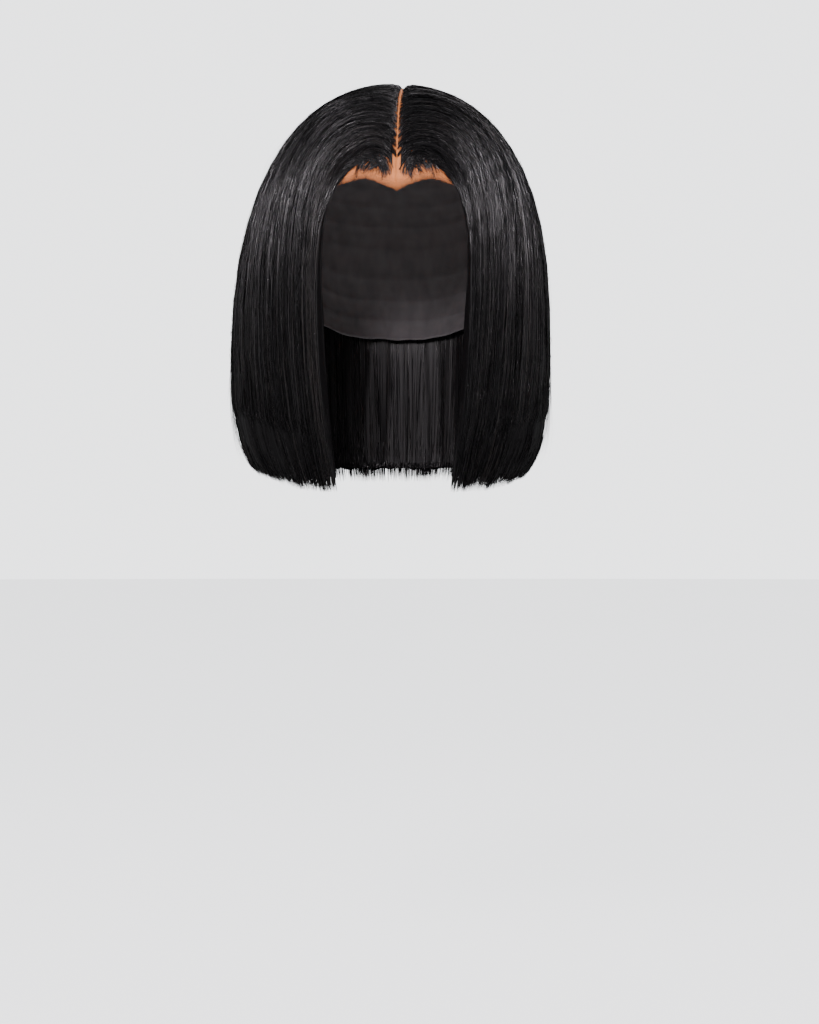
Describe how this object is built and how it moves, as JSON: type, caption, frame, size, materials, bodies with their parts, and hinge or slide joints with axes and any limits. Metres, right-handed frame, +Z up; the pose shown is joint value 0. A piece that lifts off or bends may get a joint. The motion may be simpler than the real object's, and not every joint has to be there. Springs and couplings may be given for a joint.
{
  "type": "bob wig",
  "caption": "Chin-length straight black bob wig with a middle part and a lace front, kept in the form it has when worn.",
  "frame": {"origin": "inside the crown of the cap, where the top of the head touches it", "axes": "+Z up, -Y towards the face, +X towards the wearer's left"},
  "size_m": [0.2087, 0.2048, 0.261],
  "materials": {
    "hair": "satin",
    "cap_net": "matte",
    "lace": "matte"
  },
  "bodies": {
    "root": {"lace_front": "lace", "wig_cap": "cap_net", "nape_hair": "hair", "front_hair_right": "hair", "side_hair_right": "hair", "back_hair": "hair", "side_hair_left": "hair", "front_hair_left": "hair"}
  },
  "joints": []
}
